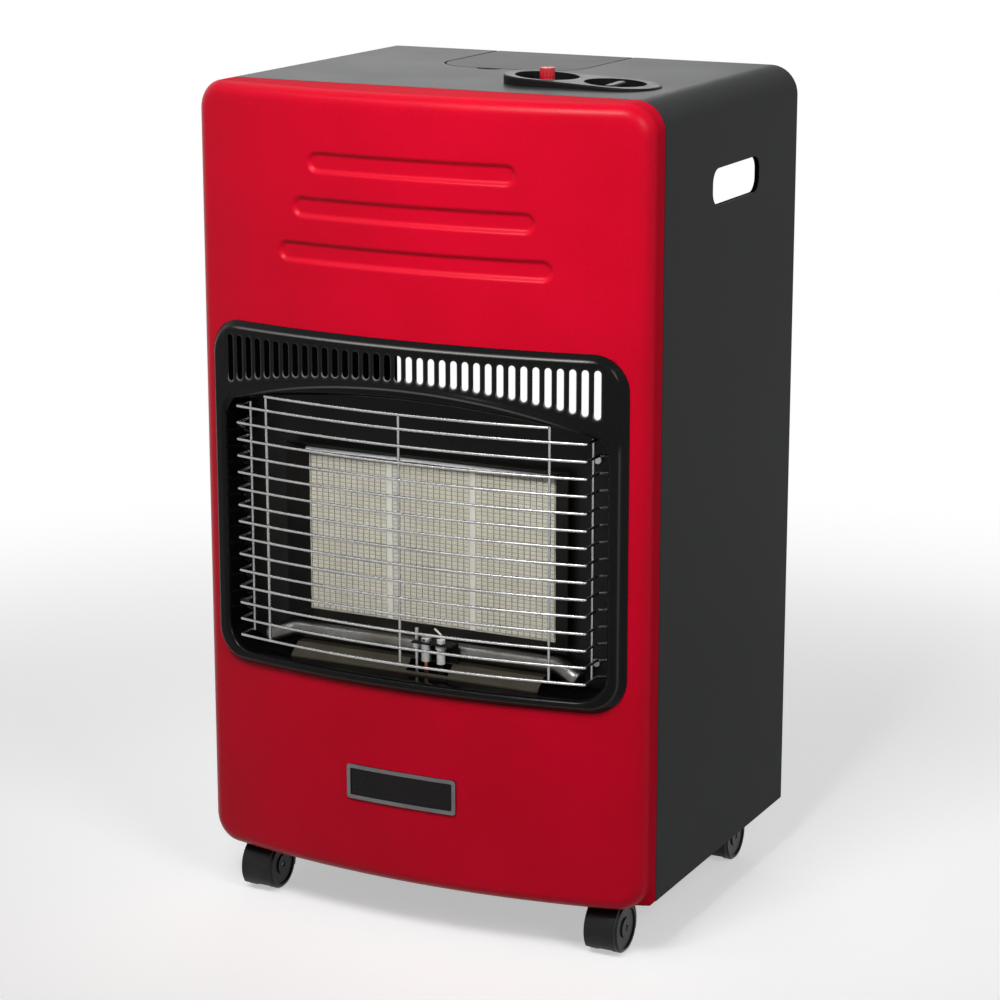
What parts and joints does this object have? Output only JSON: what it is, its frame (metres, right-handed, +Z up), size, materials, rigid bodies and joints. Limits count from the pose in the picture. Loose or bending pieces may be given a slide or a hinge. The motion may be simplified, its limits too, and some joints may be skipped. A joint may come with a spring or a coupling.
{
  "type": "gas heater",
  "caption": "Wheeled cabinet gas heater: bowed red steel front, ceramic plaque burner behind a wire guard, slotted black surround, control knob and igniter on top, hatch flap and rear cover.",
  "frame": {"origin": "on the floor, under the middle of the heater's overall box", "axes": "+Z up, the bowed front with the burner faces -Y, +X to the right of someone facing the front"},
  "size_m": [0.42, 0.364, 0.738],
  "materials": {
    "dark_paint": "satin",
    "black_steel": "satin",
    "red_paint": "gloss",
    "black_enamel": "gloss",
    "badge_silver": "polished",
    "badge_black": "gloss",
    "bare_steel": "satin",
    "dark_steel": "satin",
    "ceramic": "matt",
    "brass": "satin",
    "copper": "satin",
    "chrome_wire": "bright",
    "black_plastic": "fine grain",
    "red_plastic": "gloss",
    "white_ceramic": "glazed",
    "castor_plastic": "satin",
    "axle_steel": "satin"
  },
  "bodies": {
    "cabinet": {"cabinet_wrap": "dark_paint", "base_tray": "black_steel", "rear_guides": "black_steel", "flap_frame": "black_steel", "front_panel": "red_paint", "front_bezel": "black_enamel", "reflector_plate": "black_enamel", "badge_rim": "badge_silver", "badge_plate": "badge_black", "floor_pan": "bare_steel", "burner_frame": "bare_steel", "burner_box": "bare_steel", "heat_shield": "bare_steel", "manifold_brackets": "bare_steel", "venturi_tubes": "bare_steel", "gas_manifold": "bare_steel", "pilot_bracket": "bare_steel", "pilot_burner": "bare_steel", "guard_screws": "bare_steel", "castor_plates": "bare_steel", "castor_screws": "bare_steel", "flap_hinge_pins": "bare_steel", "deflector_bar": "dark_steel", "plaque_left": "ceramic", "plaque_centre": "ceramic", "plaque_right": "ceramic", "injectors": "brass", "gas_valve": "brass", "hose_nozzle": "brass", "supply_pipe": "copper", "pilot_tube": "copper", "thermocouple": "copper", "thermocouple_lead": "copper", "wire_guard": "chrome_wire", "control_panel": "black_plastic", "igniter_body": "black_plastic", "ignition_lead": "black_plastic", "spark_electrode": "white_ceramic"},
    "flap": {"top_flap": "black_plastic"},
    "cover": {"rear_cover": "black_enamel"},
    "spindle": {"valve_stem": "bare_steel"},
    "knob": {"control_knob": "black_plastic"},
    "button": {"igniter_button": "red_plastic"},
    "castor_front_left": {"castor_hood_front_left": "castor_plastic", "castor_axle_front_left": "axle_steel"},
    "wheel_front_left_left": {"castor_wheel_front_left_left": "castor_plastic"},
    "wheel_front_left_right": {"castor_wheel_front_left_right": "castor_plastic"},
    "castor_front_right": {"castor_hood_front_right": "castor_plastic", "castor_axle_front_right": "axle_steel"},
    "wheel_front_right_left": {"castor_wheel_front_right_left": "castor_plastic"},
    "wheel_front_right_right": {"castor_wheel_front_right_right": "castor_plastic"},
    "castor_rear_left": {"castor_hood_rear_left": "castor_plastic", "castor_axle_rear_left": "axle_steel"},
    "wheel_rear_left_left": {"castor_wheel_rear_left_left": "castor_plastic"},
    "wheel_rear_left_right": {"castor_wheel_rear_left_right": "castor_plastic"},
    "castor_rear_right": {"castor_hood_rear_right": "castor_plastic", "castor_axle_rear_right": "axle_steel"},
    "wheel_rear_right_left": {"castor_wheel_rear_right_left": "castor_plastic"},
    "wheel_rear_right_right": {"castor_wheel_rear_right_right": "castor_plastic"}
  },
  "joints": [
    {"name": "flap_hinge", "type": "hinge", "parent": "cabinet", "child": "flap", "pos_m": [-0.015, 0.165, 0.716], "axis": [-1, 0, 0], "range_deg": [0, 100]},
    {"name": "cover_lift", "type": "slide", "parent": "cabinet", "child": "cover", "axis": [0, 0, 1], "range_m": [0, 0.26]},
    {"name": "spindle_turn", "type": "hinge", "parent": "cabinet", "child": "spindle", "pos_m": [0.132, -0.042, 0.708], "axis": [0, 0, 1], "range_deg": [0, 210]},
    {"name": "knob_press", "type": "slide", "parent": "spindle", "child": "knob", "axis": [0, 0, -1], "range_m": [0, 0.004], "stiffness_N_per_m": 2500},
    {"name": "button_press", "type": "slide", "parent": "cabinet", "child": "button", "axis": [0, 0, -1], "range_m": [0, 0.006], "stiffness_N_per_m": 2000},
    {"name": "front_left_swivel", "type": "hinge", "parent": "cabinet", "child": "castor_front_left", "pos_m": [-0.1685, -0.105, 0.022], "axis": [0, 0, 1], "continuous": true},
    {"name": "front_left_left_spin", "type": "hinge", "parent": "castor_front_left", "child": "wheel_front_left_left", "pos_m": [-0.1685, -0.118, 0.022], "axis": [1, 0, 0], "continuous": true},
    {"name": "front_left_right_spin", "type": "hinge", "parent": "castor_front_left", "child": "wheel_front_left_right", "pos_m": [-0.1685, -0.118, 0.022], "axis": [1, 0, 0], "continuous": true},
    {"name": "front_right_swivel", "type": "hinge", "parent": "cabinet", "child": "castor_front_right", "pos_m": [0.1685, -0.105, 0.022], "axis": [0, 0, 1], "continuous": true},
    {"name": "front_right_left_spin", "type": "hinge", "parent": "castor_front_right", "child": "wheel_front_right_left", "pos_m": [0.1685, -0.118, 0.022], "axis": [1, 0, 0], "continuous": true},
    {"name": "front_right_right_spin", "type": "hinge", "parent": "castor_front_right", "child": "wheel_front_right_right", "pos_m": [0.1685, -0.118, 0.022], "axis": [1, 0, 0], "continuous": true},
    {"name": "rear_left_swivel", "type": "hinge", "parent": "cabinet", "child": "castor_rear_left", "pos_m": [-0.1685, 0.142, 0.022], "axis": [0, 0, 1], "continuous": true},
    {"name": "rear_left_left_spin", "type": "hinge", "parent": "castor_rear_left", "child": "wheel_rear_left_left", "pos_m": [-0.1685, 0.129, 0.022], "axis": [1, 0, 0], "continuous": true},
    {"name": "rear_left_right_spin", "type": "hinge", "parent": "castor_rear_left", "child": "wheel_rear_left_right", "pos_m": [-0.1685, 0.129, 0.022], "axis": [1, 0, 0], "continuous": true},
    {"name": "rear_right_swivel", "type": "hinge", "parent": "cabinet", "child": "castor_rear_right", "pos_m": [0.1685, 0.142, 0.022], "axis": [0, 0, 1], "continuous": true},
    {"name": "rear_right_left_spin", "type": "hinge", "parent": "castor_rear_right", "child": "wheel_rear_right_left", "pos_m": [0.1685, 0.129, 0.022], "axis": [1, 0, 0], "continuous": true},
    {"name": "rear_right_right_spin", "type": "hinge", "parent": "castor_rear_right", "child": "wheel_rear_right_right", "pos_m": [0.1685, 0.129, 0.022], "axis": [1, 0, 0], "continuous": true}
  ]
}
